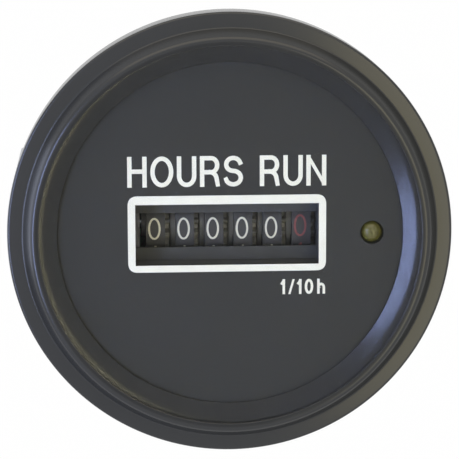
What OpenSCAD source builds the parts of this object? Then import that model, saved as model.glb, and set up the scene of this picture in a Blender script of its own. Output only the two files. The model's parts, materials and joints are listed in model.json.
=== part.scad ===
// Round panel hour meter with a six wheel counter, a stepping motor drive and a rear clamp
// Frame: X right, Y into the panel, Z up, origin on the axis at the panel face
// Every module is drawn in the face frame (x right, y up, z toward the reader) and stood up at the end

/* [Case] */
// Outside diameter of the barrel that passes through the panel
case_d = 51.5; // [51:0.25:52]
// Wall thickness of the barrel and of the rear wall
case_wall = 1.5; // [1.2:0.1:1.8]
// How far the flange stands out from the barrel
flange_w = 1.25; // [1.1:0.05:1.5]
// Flange thickness
flange_t = 1.5; // [1.3:0.1:1.8]
// Height of the step that centres the barrel in the bezel
register_w = 0.7; // [0.6:0.05:0.75]
// Depth of the space behind the circuit board
rear_space = 6.4; // [6.2:0.1:9]
// Height of the raised pads round the studs and terminals
pad_h = 0.6; // [0.4:0.1:0.8]
// Chamfer on the rear edge of the case
rear_chamfer = 0.8; // [0.4:0.1:1]

/* [Bezel] */
// How far the bezel stands out beyond the barrel
bezel_over = 3.25; // [3:0.05:4]
// Height of the straight side wall
bezel_side_h = 4.5; // [4.4:0.05:4.6]
// Radius of the outer front edge
edge_round = 0.4; // [0.3:0.05:0.5]
// Rise of the outer sloping band
band_h = 0.12; // [0.08:0.02:0.2]
// Height of the retaining bead behind the flange
bead_h = 0.9; // [0.7:0.1:1.2]
// How far the lip reaches inside the barrel radius
lip_in = 0.9; // [0.8:0.05:1]
// Height of the lip above the lens
lip_h = 0.6; // [0.55:0.05:0.7]
// Width of the flat top of the lip
lip_flat = 0.45; // [0.4:0.05:0.5]
// Radius of the round outside the flat top
lip_round = 0.9; // [0.8:0.05:1]
// Height of the fine step between the two sloping bands
step_h = 0.25; // [0.2:0.05:0.3]
// Radius of the crown on the fine step
step_round = 1.2; // [1:0.1:1.4]
// Radial clearance of the parts inside the bezel
bezel_clear = 0.3; // [0.2:0.05:0.4]

/* [Front] */
// Lens thickness
lens_t = 0.8; // [0.7:0.05:1]
// Height of the reflector ring
ring_h = 1.4; // [1.2:0.05:1.6]
// Radial clearance of the lens and the reflector ring
lens_clear = 0.1; // [0.08:0.01:0.15]
// Width of the reflector cone around the dial
cone_w = 2.5; // [2.4:0.1:2.8]
// How far the reflector cone reaches under the lip
cone_under = 0.2; // [0.15:0.05:0.4]
// Radius of the shoulder at the top of the reflector cone
shoulder_r = 3; // [2.5:0.1:3.5]
// Shadow gap between the reflector ring and the dial
shadow_gap = 0.25; // [0.2:0.05:0.4]
// Dial thickness
dial_t = 1.2; // [1:0.1:1.3]
// Gasket thickness
gasket_t = 0.6; // [0.5:0.05:0.7]

/* [Window and lamp] */
// Window height
window_h = 8; // [7.4:0.1:8.4]
// Window width beyond the row of wheels, on each side
window_side = 0.37; // [0.3:0.01:0.5]
// Thickness of the hood walls behind the window
hood_t = 1; // [0.8:0.1:1.2]
// Height of the slot in the rear lip of the hood
slot_h = 4.6; // [4.2:0.1:5]
// Thickness of the rear lip of the hood
hood_lip = 0.5; // [0.4:0.05:0.8]
// Height of the window centre below the dial centre
window_drop = 0.05; // [0:0.05:0.4]
// Distance of the window centre to the left of the dial centre
window_left = 0.4; // [0:0.05:0.5]
// Lamp diameter
lamp_d = 3; // [2.8:0.1:3.2]
// Lamp length
lamp_l = 5.3; // [5:0.1:5.6]
// Distance of the lamp from the edge of the dial
lamp_inset = 4; // [3.7:0.05:4.2]
// Radial clearance around the lamp
lamp_clear = 0.05; // [0.03:0.01:0.1]
// How far the lamp stands out of the dial
lamp_proud = 0.3; // [0.1:0.05:0.6]

/* [Counter] */
// Number wheel diameter
wheel_d = 12.4; // [12.2:0.05:12.6]
// Spacing of the number wheels
wheel_pitch = 3.86; // [3.82:0.01:3.9]
// Axial play between two wheels
wheel_gap = 0.23; // [0.18:0.01:0.26]
// Wall of the numbered rim
rim_t = 0.9; // [0.7:0.05:1]
// Distance from the dial face back to the wheel rims
wheel_depth = 4.4; // [4:0.1:5]
// Gap between the wheel rims and the pinion shaft
shaft_gap = 0.2; // [0.15:0.05:0.4]
// Width of the counter gear on each wheel
gear_w = 0.58; // [0.54:0.01:0.6]
// Width of the carry disc on each wheel
carry_w = 0.55; // [0.5:0.01:0.56]
// Wheel shaft diameter
shaft_d = 2; // [1.8:0.05:2.1]
// Pinion shaft diameter
pinion_shaft_d = 1.2; // [1:0.05:1.3]
// Radial running clearance of everything that turns on a shaft
run_clear = 0.05; // [0.03:0.005:0.08]
// Side clearance of a pinion between two wheels
side_clear = 0.1; // [0.08:0.01:0.14]
// Backlash taken off every tooth
backlash = 0.1; // [0.09:0.005:0.12]

/* [Frame] */
// Thickness of the counter frame
frame_t = 1.2; // [1:0.05:1.3]
// Space between the end wheels and the side plates
frame_gap = 0.27; // [0.24:0.01:0.32]
// Height of the dial screws from the centre
boss_y = 6.5; // [6.3:0.1:6.8]
// Distance of the dial screws from the side plates
boss_gap = 2.45; // [2.2:0.05:2.6]
// Dial screw diameter
screw_d = 1.8; // [1.6:0.1:2]
// Clearance of the screw holes in the frame and board
screw_clear = 0.15; // [0.1:0.01:0.2]

/* [Motor] */
// Module of the motor teeth
motor_m = 0.4; // [0.39:0.005:0.405]
// Rotor magnet diameter
magnet_d = 3.6; // [3.2:0.1:3.8]
// Rotor magnet length
magnet_l = 2.5; // [2:0.1:2.6]
// Air gap around the magnet
air_gap = 0.4; // [0.3:0.05:0.5]
// Width of the thin necks of the stator beside the rotor
neck_w = 0.5; // [0.4:0.05:0.6]
// Stator thickness
stator_t = 1.2; // [1:0.05:1.3]
// Stator length
stator_l = 15.6; // [15.4:0.1:16.2]
// Coil bobbin diameter
bobbin_d = 4.6; // [4.4:0.1:5]
// Rotor pin diameter
rotor_pin_d = 0.8; // [0.7:0.05:0.9]

/* [Board and terminals] */
// Gap between the circuit board and the case wall
board_clear = 1.75; // [1.4:0.05:2]
// Circuit board thickness
board_t = 1.6; // [1.2:0.1:2]
// Space between the motor and the board
board_gap = 1.3; // [1.25:0.05:1.6]
// Terminal blade width
blade_w = 6.3; // [6.1:0.1:6.5]
// Terminal blade thickness
blade_t = 0.8; // [0.7:0.05:0.9]
// Terminal blade length behind the case
blade_l = 8.5; // [7.5:0.5:10]
// Chip length
chip_l = 8.8; // [8.6:0.1:9.2]
// Chip width
chip_w = 4; // [3.8:0.1:4.2]
// Chip height above the board
chip_t = 1.6; // [1.4:0.1:1.8]
// Spacing of the chip's legs
leg_pitch = 1.27; // [1.2:0.01:1.3]
// Crystal can diameter
crystal_d = 3.2; // [3:0.1:3.4]
// Crystal can length
crystal_l = 8; // [7:0.1:8.4]
// Capacitor diameter
capacitor_d = 5; // [4.5:0.1:5.2]
// Capacitor length
capacitor_l = 7; // [6:0.1:7.4]

/* [Clamp] */
// Stud thread diameter
stud_d = 4; // [3.8:0.1:4.2]
// Distance of the studs from the edge of the barrel
stud_inset = 11.75; // [11.2:0.05:12.2]
// Stud length behind the case
stud_l = 14; // [13:0.5:18]
// Clamp strip thickness
clamp_t = 1.5; // [1.3:0.1:1.6]
// Clamp strip width
clamp_w = 12; // [10:0.5:13]
// Inside radius of the clamp's bends
bend_r = 1; // [0.6:0.1:1.2]
// Gap for the panel between bezel and clamp feet
panel_gap = 3; // [2.8:0.1:3.4]
// Gap between case and clamp bridge
bridge_gap = 2.5; // [2.3:0.1:3]
// Clearance between the barrel and the clamp arms
arm_clear = 1.15; // [1.1:0.05:1.2]
// Nut size across the flats
nut_af = 7; // [6.8:0.1:7.4]
// Nut thickness
nut_t = 3.2; // [2.8:0.1:3.4]
// Lock washer thickness
washer_t = 0.9; // [0.7:0.1:1]

/* [Hidden] */
$fn = 96;
case_r = case_d / 2;
case_in = case_r - case_wall;
flange_r = case_r + flange_w;
cavity_r = flange_r + bezel_clear;
bezel_r = case_r + bezel_over;
lip_r = case_r - lip_in;
lens_r = lip_r + 0.8;
cone_r = lip_r + cone_under;
view_r = cone_r - cone_w;

// Stack of the front pieces, from the panel face forward
z_flange = bead_h;
z_gasket = z_flange + flange_t;
z_dial = z_gasket + gasket_t;
z_face = z_dial + dial_t;
z_lens = z_face + ring_h;
z_lip = z_lens + lens_t;
z_top = z_lip + lip_h;

// Counter axes, from the dial face back
wheel_r = wheel_d / 2;
count_z = z_face - wheel_depth - wheel_r;
WHEEL_TEETH = 20;
PINION_TEETH = 8;
IDLER_TEETH = 32;
ROTOR_TEETH = 8;
pressure = 25;
count_c = wheel_r + pinion_shaft_d / 2 + shaft_gap;
count_m = 2 * count_c / (WHEEL_TEETH + PINION_TEETH);
pinion_z = count_z - count_c;
motor_c = motor_m * (IDLER_TEETH + ROTOR_TEETH) / 2;
last_x = 2.5 * wheel_pitch;
row_w = 6 * wheel_pitch;
rim_w = wheel_pitch - gear_w - carry_w - wheel_gap;
hub_x = rim_w / 2 + gear_w;
plate_x = last_x + hub_x + frame_gap;
plate_out = plate_x + frame_t;
boss_x = plate_out + boss_gap;
window_w = row_w + 2 * window_side;
hood_z = z_face - wheel_depth + 0.2;
frame_z = hood_z - 0.4;
carry_r = count_c - count_m * (PINION_TEETH / 2 + 0.75) - 0.2;

// Motor places along x, outward from the right side plate
idler_x = plate_out + 0.15;
idler_w = 0.6;
magnet_x = idler_x + 0.9;
stator_x = magnet_x + 0.65;
core_x = stator_x - stator_t;
rotor_hole_r = magnet_d / 2 + air_gap;
stator_low = motor_c - rotor_hole_r - neck_w;
stator_top = motor_c + rotor_hole_r + neck_w;
coil_y = stator_top + bobbin_d / 2 + 0.15;
post_y = motor_c + 0.5;
lug_w = 2.6;
core_h = 2;
tube_r = sqrt(core_h * core_h + stator_t * stator_t) / 2 + 0.25;
post_z = [stator_l / 2 - 1.8, -stator_l / 2 + 2.8];
small_screw_r = 0.6;

// Rear pieces
z_board = pinion_z - stator_l / 2 - board_gap;
z_back = z_board - board_t;
z_floor = z_back - rear_space;
z_rear = z_floor - case_wall;
board_r = case_in - board_clear;
blade_x = 0.29 * board_r;
blade_y = -0.535 * board_r;
post_r = board_r - 3;
screw_r = screw_d / 2;
lamp_r = lamp_d / 2;
lamp_x = view_r - lamp_inset;
lamp_back = z_face + lamp_proud - lamp_l;
lead_y = 1.27;
stud_r = stud_d / 2;
stud_x = case_r - stud_inset;
arm_x = case_r + arm_clear;
z_bridge = z_rear - bridge_gap;
z_washer = z_bridge - clamp_t;
z_nut = z_washer - washer_t;

// Stands a piece drawn in the face frame up into the part frame
module stand() {
  rotate([90, 0, 0]) children();
}

// A disc or tube along z between two heights
module disc(r, z0, z1) {
  translate([0, 0, z0]) cylinder(r = r, h = z1 - z0);
}

module tube(r_out, r_in, z0, z1) {
  difference() {
    disc(r_out, z0, z1);
    disc(r_in, z0 - 1, z1 + 1);
  }
}

// A block between two corners
module block(a, b) {
  translate(a) cube(b - a);
}

// Lays a piece drawn along z over onto the x axis at a given height and depth
module along_x(y, z) {
  translate([0, y, z]) rotate([0, 90, 0]) children();
}

// Involute gear outline with stub teeth, the first tooth on the x axis
function involute_deg(a) = tan(a) * 180 / PI - a;

function tooth_half(r, n, m, thin) =
  let (rp = n * m / 2, rb = rp * cos(pressure), a = r > rb ? acos(rb / r) : 0)
  (PI * m / 2 - thin) / 2 / rp * 180 / PI + involute_deg(pressure) - involute_deg(a);

function tooth_radii(n, m) =
  let (rp = n * m / 2, rb = rp * cos(pressure), root = rp - 1.05 * m)
  rb > root + 0.01 ? [root, rb, rp, rp + 0.75 * m] : [root, rp, rp + 0.75 * m];

function gear_points(n, m, thin) =
  let (rs = tooth_radii(n, m), last = len(rs) - 1)
  [
    for (i = [0 : n - 1])
      for (k = [0 : 2 * last + 1])
        let (
          up = k <= last,
          r = rs[up ? k : 2 * last + 1 - k],
          a = 360 * i / n + (up ? -1 : 1) * tooth_half(r, n, m, thin)
        )
        [r * cos(a), r * sin(a)]
  ];

module gear(n, m, z0, z1, turn = 0) {
  translate([0, 0, z0]) rotate([0, 0, turn])
    linear_extrude(height = z1 - z0) polygon(gear_points(n, m, backlash));
}

// Points along an arc in the plane of a turned section
function arc(r, centre, from, to, steps = 8) =
  [for (i = [0 : steps]) let (a = from + (to - from) * i / steps) centre + r * [cos(a), sin(a)]];

// Bezel: straight side wall, gently sloping band, crowned step, steep band and a flat lip over the lens
module bezel_profile() {
  in_r = case_r + register_w + 0.15;
  step_r = (bezel_r + lip_r) / 2 + 0.33;
  band_z = bezel_side_h + edge_round + band_h;
  step_z = band_z + step_h;
  crown = [step_r - 0.08, step_z] - step_round * [cos(60), sin(60)];
  polygon(concat(
    [[in_r, 0], [bezel_r - 0.3, 0], [bezel_r, 0.3]],
    arc(edge_round, [bezel_r - edge_round, bezel_side_h], 0, 85),
    [[step_r, band_z]],
    arc(step_round, crown, 60, 86, 5),
    arc(lip_round, [lip_r + lip_flat, z_top - lip_round], 30, 90),
    [
      [lip_r + 0.1, z_top],
      [lip_r, z_top - 0.1],
      [lip_r, z_lip],
      [lens_r + lens_clear, z_lip],
      [lens_r + lens_clear, z_face],
      [cavity_r, z_face],
      [cavity_r, bead_h],
      [in_r, bead_h]
    ]
  ));
}

module bezel() {
  color("#1d1e20") stand() rotate_extrude() bezel_profile();
}

module lens() {
  color("#dfe6e8", 0.3) stand() disc(lens_r, z_lens, z_lip);
}

// Cone that leads from the lens down to the dial, undercut so that a shadow line shows
module reflector_ring() {
  shoulder = [cone_r, z_lens] - shoulder_r * [cos(97), sin(97)];
  color("#202124") stand() rotate_extrude() polygon(concat(
    [[lens_r, z_face], [lens_r, z_lens]],
    arc(shoulder_r, shoulder, 97, 116, 6),
    [
      [view_r, z_face + shadow_gap + 0.1],
      [view_r, z_face + shadow_gap],
      [view_r + 1, z_face + shadow_gap],
      [view_r + 1, z_face]
    ]
  ));
}

module boss_places() {
  for (sx = [-1, 1], sy = [-1, 1]) translate([sx * boss_x, sy * boss_y, 0]) children();
}

module window_place() {
  translate([-window_left, -window_drop, 0]) children();
}

module dial() {
  w = window_w / 2;
  h = window_h / 2;
  color("#303133") stand() difference() {
    union() {
      disc(flange_r - 0.1, z_dial, z_face);
      window_place() block([-w - hood_t, -h - hood_t, hood_z], [w + hood_t, h + hood_t, z_dial + 0.1]);
      translate([lamp_x, 0, 0]) disc(lamp_r + lamp_clear + 0.9, lamp_back + 1, z_dial);
      boss_places() disc(2, frame_z, z_dial);
    }
    window_place() {
      block([-w, -h, hood_z + hood_lip], [w, h, z_face + 1]);
      block([-w, -slot_h / 2, hood_z - 1], [w, slot_h / 2, z_face]);
    }
    translate([lamp_x, 0, 0]) disc(lamp_r + lamp_clear, lamp_back, z_face + 1);
    boss_places() disc(screw_r, frame_z - 1, z_dial - 0.4);
  }
}

module dial_gasket() {
  color("#3a3a3a") stand() tube(flange_r - 0.1, case_in + 0.35, z_gasket, z_dial);
}

module board_posts() {
  for (a = [90, 210, 330]) rotate([0, 0, a]) translate([post_r, 0, 0]) children();
}

module terminal_places() {
  for (s = [-1, 1]) translate([s * blade_x, blade_y, 0]) children();
}

module stud_places() {
  for (s = [-1, 1]) translate([s * stud_x, 0, 0]) children();
}

module case() {
  color("#26272a") stand() difference() {
    union() {
      disc(flange_r, z_flange, z_gasket);
      disc(case_r + register_w, 0, z_flange);
      disc(case_r, z_rear + rear_chamfer, 0);
      translate([0, 0, z_rear])
        cylinder(r1 = case_r - rear_chamfer, r2 = case_r, h = rear_chamfer);
      stud_places() disc(stud_r + 2, z_rear - pad_h, z_rear + 1);
      terminal_places() block(
        [-blade_w / 2 - 1.2, -blade_t / 2 - 1.2, z_rear - pad_h],
        [blade_w / 2 + 1.2, blade_t / 2 + 1.2, z_rear + 1]
      );
    }
    difference() {
      disc(case_in, z_floor, z_gasket + 1);
      board_posts() disc(2.4, z_floor - 1, z_back);
    }
    board_posts() disc(screw_r, z_floor + 0.6, z_back + 1);
    terminal_places() block(
      [-blade_w / 2 - 0.1, -blade_t / 2 - 0.1, z_rear - pad_h - 1],
      [blade_w / 2 + 0.1, blade_t / 2 + 0.1, z_floor + 1]
    );
    stud_places() disc(stud_r, z_rear - pad_h - 1, z_floor + 1);
  }
}

// Three millimetre lamp, dome forward, collar against the end of its tube
module lamp() {
  color("#b7ab4a") stand() translate([lamp_x, 0, 0]) {
    disc(lamp_r + 0.4, lamp_back, lamp_back + 1);
    disc(lamp_r, lamp_back + 1, z_face + lamp_proud - lamp_r);
    translate([0, 0, z_face + lamp_proud - lamp_r]) intersection() {
      sphere(r = lamp_r);
      disc(lamp_r + 1, 0, lamp_r + 1);
    }
  }
}

module lamp_leads() {
  color("#b9bcbe") stand() for (s = [-1, 1])
    translate([lamp_x, s * lead_y, 0]) block([-0.25, -0.25, z_back - 1.2], [0.25, 0.25, lamp_back]);
}

// Frame: two side plates, a web under the wheels, four screw tabs at the front
module counter_frame() {
  low = -wheel_r - 3.3;
  tab_x = boss_x + 2.2;
  back = pinion_z - stator_l / 2 + 1.2;
  mid_x = plate_x + frame_t / 2;
  tab_w = tab_x - mid_x;
  color("#6f7478") stand() difference() {
    union() {
      block([plate_x, low, back], [plate_out, post_y + 1.4, frame_z]);
      block([-plate_out, low, back], [-plate_x, wheel_r + 1, frame_z]);
      block([-mid_x, low, pinion_z - 4], [mid_x, low + frame_t, count_z + 2]);
      for (sx = [-1, 1], sy = [-1, 1]) translate([sx * (mid_x + tab_x) / 2, sy * boss_y, 0])
        block([-tab_w / 2, -2, frame_z - frame_t], [tab_w / 2, 2, frame_z]);
      for (z = post_z) along_x(post_y, pinion_z + z) disc(1.2, mid_x, stator_x);
    }
    boss_places() disc(screw_r + screw_clear, frame_z - frame_t - 1, frame_z + 1);
    along_x(0, count_z) disc(shaft_d / 2, -plate_out - 1, plate_out + 1);
    along_x(0, pinion_z) disc(pinion_shaft_d / 2, -plate_out - 1, 0);
    along_x(0, pinion_z) disc(1.4 + run_clear, 0, plate_out + 1);
    along_x(motor_c, pinion_z) disc(rotor_pin_d / 2, 0, plate_out + 1);
    for (z = post_z) along_x(post_y, pinion_z + z) disc(small_screw_r, plate_x - 1, stator_x + 1);
  }
}

module dial_screws() {
  color("#c8cacc") stand() boss_places() {
    disc(screw_r, frame_z - frame_t, z_dial - 0.8);
    difference() {
      disc(1.6, frame_z - frame_t - 1, frame_z - frame_t);
      block([-0.2, -2, frame_z - frame_t - 2], [0.2, 2, frame_z - frame_t - 0.6]);
    }
  }
}

module wheel_shaft() {
  color("#b4b8bb") stand() along_x(0, count_z) disc(shaft_d / 2, -plate_out - 0.5, plate_out);
}

// Number wheel: thin rim, web, hub, gear on the right side, carry disc with two teeth on the left
module number_wheel(place, carry) {
  bore = shaft_d / 2 + run_clear;
  half = rim_w / 2;
  x = (place - 2.5) * wheel_pitch;
  stand() along_x(0, count_z) translate([0, 0, x]) difference() {
    union() {
      tube(wheel_r, wheel_r - rim_t, -half, half);
      disc(wheel_r - rim_t, half - 0.6, half);
      disc(2, -half - carry_w, half);
      gear(WHEEL_TEETH, count_m, half, half + gear_w, 180 / WHEEL_TEETH);
      if (carry) {
        disc(carry_r - 0.55, -half - carry_w, -half);
        for (a = [-1, 1]) rotate([0, 0, 72 + a * 180 / WHEEL_TEETH])
          block([2, -0.3, -half - carry_w], [carry_r, 0.3, -half]);
      }
    }
    disc(bore, -half - 2, half + 2);
  }
}

module wheel_tenths() {
  color("#2a2626") number_wheel(5, true);
}

module wheel_1() {
  color("#262728") number_wheel(4, true);
}

module wheel_10() {
  color("#262728") number_wheel(3, true);
}

module wheel_100() {
  color("#262728") number_wheel(2, true);
}

module wheel_1000() {
  color("#262728") number_wheel(1, true);
}

module wheel_10000() {
  color("#262728") number_wheel(0, false);
}

// Transfer pinion in the gap to the right of a wheel: every second tooth is cut short
module transfer_pinion(place) {
  z0 = rim_w / 2 + side_clear;
  z1 = rim_w / 2 + gear_w + side_clear;
  z2 = wheel_pitch - rim_w / 2 - side_clear;
  x = (place - 2.5) * wheel_pitch;
  root = count_m * (PINION_TEETH / 2 - 1.05);
  color("#e6e2d6") stand() along_x(0, pinion_z) translate([0, 0, x]) difference() {
    gear(PINION_TEETH, count_m, z0, z2);
    for (i = [1 : 2 : PINION_TEETH - 1]) rotate([0, 0, 360 * i / PINION_TEETH])
      block([root * 0.95, -0.8 * count_m, z1], [2 * root, 0.8 * count_m, z2 + 1]);
    disc(pinion_shaft_d / 2 + run_clear, z0 - 1, z2 + 1);
  }
}

module pinion_1() {
  transfer_pinion(4);
}

module pinion_10() {
  transfer_pinion(3);
}

module pinion_100() {
  transfer_pinion(2);
}

module pinion_1000() {
  transfer_pinion(1);
}

module pinion_10000() {
  transfer_pinion(0);
}

module pinion_shaft() {
  color("#b4b8bb") stand() along_x(0, pinion_z)
    disc(pinion_shaft_d / 2, -plate_out - 0.5, idler_x + idler_w + 0.4);
}

// Compound idler: small gear inside the plate, hub through it, large gear outside
module idler_gear() {
  x0 = last_x + rim_w / 2 + 0.05;
  x1 = last_x + hub_x + 0.02;
  color("#e6e2d6") stand() along_x(0, pinion_z) difference() {
    union() {
      gear(PINION_TEETH, count_m, x0, x1);
      disc(1.4, x0, idler_x);
      gear(IDLER_TEETH, motor_m, idler_x, idler_x + idler_w);
    }
    disc(pinion_shaft_d / 2 + run_clear, x0 - 1, idler_x + idler_w + 1);
  }
}

// Rotor: small pinion and the hub that carries the magnet
module rotor() {
  color("#e6e2d6") stand() along_x(motor_c, pinion_z) difference() {
    union() {
      gear(ROTOR_TEETH, motor_m, idler_x - 0.05, idler_x + idler_w + 0.05, 180 / ROTOR_TEETH);
      disc(1, idler_x + idler_w, magnet_x + magnet_l);
    }
    disc(rotor_pin_d / 2 + run_clear, idler_x - 1, magnet_x + magnet_l + 1);
  }
}

module rotor_magnet() {
  color("#55575a") stand() along_x(motor_c, pinion_z)
    tube(magnet_d / 2, 1, magnet_x, magnet_x + magnet_l);
}

module rotor_pin() {
  color("#b4b8bb") stand() along_x(motor_c, pinion_z)
    disc(rotor_pin_d / 2, plate_x, magnet_x + magnet_l + 0.5);
}

// Screw places on the stator lugs, where the coil core is held
module lug_places() {
  for (s = [-1, 1]) along_x(coil_y, pinion_z + s * (stator_l - lug_w) / 2) children();
}

module stator() {
  half = stator_l / 2;
  color("#8a8d90") stand() difference() {
    union() {
      block([stator_x, stator_low, pinion_z - half], [stator_x + stator_t, stator_top, pinion_z + half]);
      for (s = [-1, 1]) translate([0, 0, pinion_z + s * (half - lug_w / 2)])
        block([stator_x, stator_top - 1, -lug_w / 2], [stator_x + stator_t, coil_y + core_h / 2, lug_w / 2]);
    }
    along_x(motor_c, pinion_z) disc(rotor_hole_r, stator_x - 1, stator_x + stator_t + 1);
    for (z = post_z) along_x(post_y, pinion_z + z) disc(small_screw_r, stator_x - 1, stator_x + stator_t + 1);
    lug_places() disc(small_screw_r, stator_x - 1, stator_x + stator_t + 1);
  }
}

module coil_core() {
  half = stator_l / 2;
  color("#8a8d90") stand() difference() {
    block([core_x, coil_y - core_h / 2, pinion_z - half], [stator_x, coil_y + core_h / 2, pinion_z + half]);
    lug_places() disc(small_screw_r, core_x - 1, stator_x + 1);
  }
}

module coil_bobbin() {
  half = stator_l / 2 - lug_w - 0.3;
  cx = core_x + stator_t / 2;
  color("#d9cdb4") stand() translate([cx, coil_y, pinion_z]) difference() {
    union() {
      disc(tube_r, -half, half);
      disc(bobbin_d / 2, half - 0.7, half);
      disc(bobbin_d / 2, -half, -half + 0.7);
    }
    block([-stator_t / 2, -core_h / 2, -half - 1], [stator_t / 2, core_h / 2, half + 1]);
  }
}

module coil_winding() {
  half = stator_l / 2 - lug_w - 1;
  color("#a5562a") stand() translate([core_x + stator_t / 2, coil_y, pinion_z])
    tube(bobbin_d / 2 - 0.25, tube_r, -half, half);
}

module stator_screws() {
  color("#c8cacc") stand() {
    for (z = post_z) along_x(post_y, pinion_z + z) {
      disc(small_screw_r, plate_x + 0.2, stator_x + stator_t);
      disc(1.1, stator_x + stator_t, stator_x + stator_t + 0.7);
    }
    lug_places() {
      disc(small_screw_r, core_x, stator_x + stator_t);
      disc(1.1, stator_x + stator_t, stator_x + stator_t + 0.7);
    }
  }
}

module board() {
  color("#1f5a3c") stand() difference() {
    disc(board_r, z_back, z_board);
    board_posts() disc(screw_r + screw_clear, z_back - 1, z_board + 1);
    terminal_places() block(
      [-blade_w / 2, -blade_t / 2, z_back - 1],
      [blade_w / 2, blade_t / 2, z_board + 1]
    );
    for (s = [-1, 1]) translate([lamp_x, s * lead_y, 0])
      block([-0.25, -0.25, z_back - 1], [0.25, 0.25, z_board + 1]);
  }
}

// Lays a round component along x on the rear of the board
module on_board(x, y, r) {
  translate([x * board_r, y * board_r, z_back - r]) rotate([0, 90, 0]) children();
}

module chip() {
  leg_y = chip_w / 2 + 0.5;
  color("#232426") stand() translate([0, 0.205 * board_r, z_back]) {
    block([-chip_l / 2, -chip_w / 2, -chip_t], [chip_l / 2, chip_w / 2, -0.1]);
    for (i = [0 : 6], s = [-1, 1]) translate([(i - 3) * leg_pitch, s * leg_y, 0])
      block([-0.2, -0.55, -0.3], [0.2, 0.55, 0]);
  }
}

module crystal() {
  r = crystal_d / 2;
  color("#c3c6c9") stand() on_board(-0.4, 0.58, r) disc(r, -crystal_l / 2, crystal_l / 2);
}

module capacitor() {
  r = capacitor_d / 2;
  color("#2c3550") stand() on_board(0.4, 0.55, r) disc(r, -capacitor_l / 2, capacitor_l / 2);
}

module resistor() {
  color("#c9ae7c") stand() on_board(0, -0.245, 1.1) {
    disc(0.9, -2.2, 2.2);
    disc(1.1, -3, -1.8);
    disc(1.1, 1.8, 3);
  }
}

module diode() {
  color("#2a2a2c") stand() on_board(0, -0.755, 1.2) disc(1.2, -2.4, 2.4);
}

module board_screws() {
  color("#c8cacc") stand() board_posts() {
    disc(screw_r, z_floor + 1, z_board);
    difference() {
      disc(1.6, z_board, z_board + 1);
      block([-0.2, -2, z_board + 0.6], [0.2, 2, z_board + 2]);
    }
  }
}

// Blade terminals with a shoulder on the board and a dimple hole near the tip
module terminals() {
  color("#c9c3a8") stand() terminal_places() difference() {
    union() {
      block([-blade_w / 2, -blade_t / 2, z_rear - blade_l + 1], [blade_w / 2, blade_t / 2, z_board + 0.4]);
      block(
        [-blade_w / 2 + 0.8, -blade_t / 2, z_rear - blade_l],
        [blade_w / 2 - 0.8, blade_t / 2, z_rear - blade_l + 2]
      );
    }
    translate([0, 0, z_rear - blade_l + 3.6]) rotate([90, 0, 0]) disc(0.8, -2, 2);
  }
}

module studs() {
  color("#b4b8bb") stand() stud_places() {
    disc(stud_r, z_rear - stud_l, z_floor);
    disc(stud_r + 1.5, z_floor, z_floor + 1.4);
  }
}

// Outline of the clamp strip or of the space inside it, with bent corners of radius r
module clamp_outline(x, z, r, top) {
  translate([-x, z + r]) square([2 * x, top - z - r]);
  translate([-x + r, z]) square([2 * (x - r), r]);
  for (s = [-1, 1]) translate([s * (x - r), z + r]) circle(r = r);
}

// Clamp: a bent U strip whose arms reach forward to the panel
module clamp_bracket() {
  color("#b9bcbf") stand() difference() {
    translate([0, clamp_w / 2, 0]) rotate([90, 0, 0]) linear_extrude(height = clamp_w) difference() {
      clamp_outline(arm_x + clamp_t, z_washer, clamp_t + bend_r, -panel_gap);
      clamp_outline(arm_x, z_bridge, bend_r, -panel_gap + 1);
    }
    stud_places() disc(stud_r + 0.25, z_washer - 1, z_bridge + 1);
  }
}

// Spring washers, split at one side
module lock_washers() {
  color("#a9adb0") stand() stud_places() difference() {
    tube(stud_r + 1.6, stud_r + 0.2, z_nut, z_washer);
    rotate([0, 0, 70]) block([0, -0.25, z_nut - 1], [stud_r + 3, 0.25, z_washer + 1]);
  }
}

// Hexagon nut with its corners turned down on both faces
module clamp_nuts() {
  corner_r = nut_af / 2 / cos(30);
  turned = 0.35;
  color("#b9bcbf") stand() stud_places() translate([0, 0, z_nut - nut_t]) difference() {
    intersection() {
      rotate([0, 0, 30]) cylinder(r = corner_r, h = nut_t, $fn = 6);
      rotate_extrude() polygon([
        [0, 0],
        [nut_af / 2 - 0.1, 0],
        [corner_r + 0.1, turned],
        [corner_r + 0.1, nut_t - turned],
        [nut_af / 2 - 0.1, nut_t],
        [0, nut_t]
      ]);
    }
    disc(stud_r + run_clear, -1, nut_t + 1);
  }
}

bezel();
lens();
reflector_ring();
dial();
dial_gasket();
case();
lamp();
lamp_leads();
counter_frame();
dial_screws();
wheel_shaft();
wheel_tenths();
wheel_1();
wheel_10();
wheel_100();
wheel_1000();
wheel_10000();
pinion_1();
pinion_10();
pinion_100();
pinion_1000();
pinion_10000();
pinion_shaft();
idler_gear();
rotor();
rotor_magnet();
rotor_pin();
stator();
coil_core();
coil_bobbin();
coil_winding();
stator_screws();
board();
chip();
crystal();
capacitor();
resistor();
diode();
board_screws();
terminals();
studs();
clamp_bracket();
lock_washers();
clamp_nuts();
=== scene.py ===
import json
import math

import bmesh
import bpy
from mathutils import Matrix, Vector

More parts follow.
